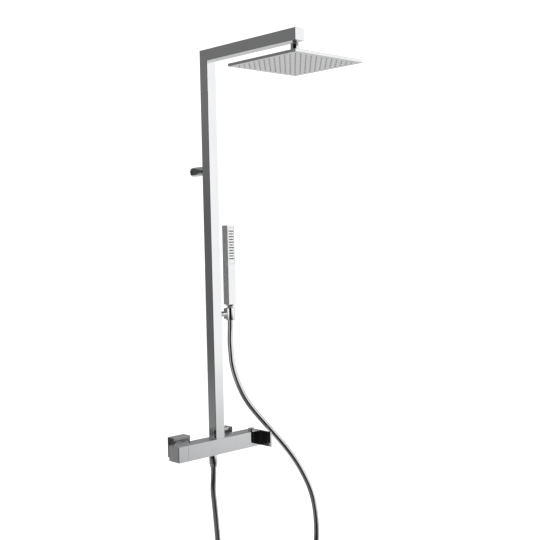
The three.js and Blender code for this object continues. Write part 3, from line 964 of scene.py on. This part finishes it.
# What reflections see. Heights are those of a direction of length 1. The two numbers after a
# direction are the cosines of the angle to it where a tone begins and where it is full.
SKY_TONE, FLOOR_TONE, HORIZON = 0.27, 0.58, (0.08, -0.16)
BRIGHT_SIDE, BRIGHT_TONE = (direction(0.68, -0.73), 0.55, 0.8), 1.0
BRIGHT_FOOT = (-0.24, -0.1)
BRIGHT_CUT, CUT_FOOT = (direction(0.7254, 0.6884), 0.01, -0.01), (0.197, 0.202)
WALL_SIDE = (direction(-0.62, 0.78), 0.5, 0.8)
WALL_TONES, WALL_RISE = (0.12, 0.175), (0.0, 0.16)
WALL_FOOT_TONE, WALL_FOOT = 0.22, (-0.11, -0.2)
DARK_SIDE, DARK_TONE = (direction(-0.8, -0.6), 0.62, 0.8), 0.003
DARK_FOOT, DARK_TOP = (-0.415, -0.385), (0.42, 0.26)
FLAGS = [  # dark areas below and above the camera, with the tone of each
    ((direction(0.05, -0.74, -0.67), 0.72, 0.88), 0.02),
    ((direction(-0.68, -0.22, -0.7), 0.74, 0.9), 0.13),
    ((direction(0.55, -0.3, 0.78), 0.8, 0.93), 0.05),
]


def make_world():
    """A white backdrop to the eye, and to reflections a grey studio with one broad bright side."""
    world = bpy.data.worlds.new("studio")
    bpy.context.scene.world = world
    world.use_nodes = True
    tree = world.node_tree
    tree.nodes.clear()

    def add(kind, **inputs):
        made = tree.nodes.new(kind)
        for name, value in inputs.items():
            made.inputs[name.replace("_", " ")].default_value = value
        return made

    way = add("ShaderNodeTexCoord").outputs["Generated"]
    apart = add("ShaderNodeSeparateXYZ")
    tree.links.new(way, apart.inputs["Vector"])

    def towards(target, start, end):
        """From 0 to 1 as a direction comes within reach of the target."""
        dot = tree.nodes.new("ShaderNodeVectorMath")
        dot.operation = "DOT_PRODUCT"
        dot.inputs[1].default_value = target
        tree.links.new(way, dot.inputs[0])
        return step(dot.outputs["Value"], start, end)

    def step(value, start, end):
        """From 0 to 1 as a value goes from start to end."""
        made = tree.nodes.new("ShaderNodeMapRange")
        made.interpolation_type = "SMOOTHSTEP"
        made.inputs["From Min"].default_value = start
        made.inputs["From Max"].default_value = end
        tree.links.new(value, made.inputs["Value"])
        return made.outputs["Result"]

    def mix(factor, low, high):
        """low where the factor is 0 and high where it is 1."""
        made = tree.nodes.new("ShaderNodeMix")
        factor_in, low_in, high_in = made.inputs[0], made.inputs[2], made.inputs[3]
        for socket, value in ((factor_in, factor), (low_in, low), (high_in, high)):
            if isinstance(value, (int, float)):
                socket.default_value = value
            else:
                tree.links.new(value, socket)
        return made.outputs[0]

    def times(a, b):
        made = tree.nodes.new("ShaderNodeMath")
        made.operation = "MULTIPLY"
        tree.links.new(a, made.inputs[0])
        tree.links.new(b, made.inputs[1])
        return made.outputs[0]

    height = apart.outputs["Z"]
    tone = mix(step(height, *HORIZON), SKY_TONE, FLOOR_TONE)
    bright = times(towards(*BRIGHT_SIDE), step(height, *BRIGHT_FOOT))
    cut = times(step(height, *CUT_FOOT), towards(*BRIGHT_CUT))
    bright = mix(cut, bright, 0.0)
    tone = mix(bright, tone, BRIGHT_TONE)
    wall_tone = mix(step(height, *WALL_RISE), *WALL_TONES)
    wall_tone = mix(step(height, *WALL_FOOT), wall_tone, WALL_FOOT_TONE)
    tone = mix(towards(*WALL_SIDE), tone, wall_tone)
    dark = times(towards(*DARK_SIDE), step(height, *DARK_FOOT))
    dark = times(dark, step(height, *DARK_TOP))
    tone = mix(dark, tone, DARK_TONE)
    for place, flag_tone in FLAGS:
        tone = mix(towards(*place), tone, flag_tone)

    studio = add("ShaderNodeBackground")
    tree.links.new(tone, studio.inputs["Color"])
    plain = add("ShaderNodeBackground", Strength=BACKDROP)
    plain.inputs["Color"].default_value = (1, 1, 1, 1)
    path = add("ShaderNodeLightPath")
    either = tree.nodes.new("ShaderNodeMath")
    either.operation = "MAXIMUM"
    tree.links.new(path.outputs["Is Camera Ray"], either.inputs[0])
    tree.links.new(path.outputs["Is Diffuse Ray"], either.inputs[1])
    blend = add("ShaderNodeMixShader")
    tree.links.new(either.outputs[0], blend.inputs["Fac"])
    tree.links.new(studio.outputs[0], blend.inputs[1])
    tree.links.new(plain.outputs[0], blend.inputs[2])
    out = add("ShaderNodeOutputWorld")
    tree.links.new(blend.outputs[0], out.inputs["Surface"])


FLOOR_RADIUS = 30
FLOOR_DROP = 0.04  # from the hose's lowest point to the floor


def make_floor():
    """A plain pale floor below the hose."""
    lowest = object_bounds()[0][2]
    bm = bmesh.new()
    bmesh.ops.create_circle(bm, cap_ends=True, radius=FLOOR_RADIUS, segments=96)
    floor = new_object("floor", bm)
    floor.location.z = lowest - FLOOR_DROP
    material, tree, shader = node_material("floor_paper")
    grain = noise(tree, object_coordinates(tree), 3, 4)
    paper = tint(tree, grain, (0.95, 0.95, 0.95), (0.97, 0.97, 0.97))
    tree.links.new(paper, shader.inputs["Base Color"])
    shader.inputs["Roughness"].default_value = 0.9
    floor.data.materials.append(material)
    floor.visible_glossy = False


def make_light(name, place, target, size, power):
    """A soft light that reflections don't see."""
    data = bpy.data.lights.new(name, "AREA")
    data.shape = "RECTANGLE"
    data.size, data.size_y = size
    data.energy = power
    light = bpy.data.objects.new(name, data)
    light.location = place
    aim = (Vector(target) - Vector(place)).to_track_quat("-Z", "Y")
    light.rotation_euler = aim.to_euler()
    light.visible_glossy = False
    bpy.context.scene.collection.objects.link(light)


CARD_Y = 0.004
# The tones of the cards below: painted dark and grey reflections.
DARK_REFLECTION_PAINT = dull("painted_dark_reflection", (0.04, 0.04, 0.04), (0.055, 0.055, 0.055), 0.9, 1)
GREY_REFLECTION_PAINT = dull("painted_grey_reflection", (0.19, 0.19, 0.19), (0.23, 0.23, 0.23), 0.9, 1)


def make_card(name, x, z, reflection_tone):
    """A dark or grey card close behind the object, which shows only in its reflections: a painted
    dark reflection.
    """
    bm = bmesh.new()
    corners = [(x[0], z[0]), (x[1], z[0]), (x[1], z[1]), (x[0], z[1])]
    bm.faces.new([bm.verts.new((a, CARD_Y, b)) for a, b in corners])
    card = new_object(name, bm)
    card.data.materials.append(reflection_tone)
    card.visible_camera = False
    card.visible_diffuse = False
    card.visible_shadow = False


make_world()
make_floor()
# Cards that paint dark reflections into the chrome behind the mixer, the handset and the post.
make_card("left_card", (-0.16, -0.1), (-0.06, 0.026), DARK_REFLECTION_PAINT)
make_card("middle_card", (-0.05, 0.04), (-0.06, 0.026), GREY_REFLECTION_PAINT)
make_card("right_card", (0.04, 0.2), (-0.06, 0.026), DARK_REFLECTION_PAINT)
make_card("handset_card", (-0.03, 0.006), (0.36, 0.6), GREY_REFLECTION_PAINT)
make_card("post_card", (-0.052, 0.0), (0.7, 0.756), DARK_REFLECTION_PAINT)
make_light("overhead_softbox", (0.6, -1.2, 3.2), (0, -0.2, 0), (2.4, 2.4), 60)

scene = bpy.context.scene
scene.view_settings.view_transform = "Standard"
scene.view_settings.look = "None"
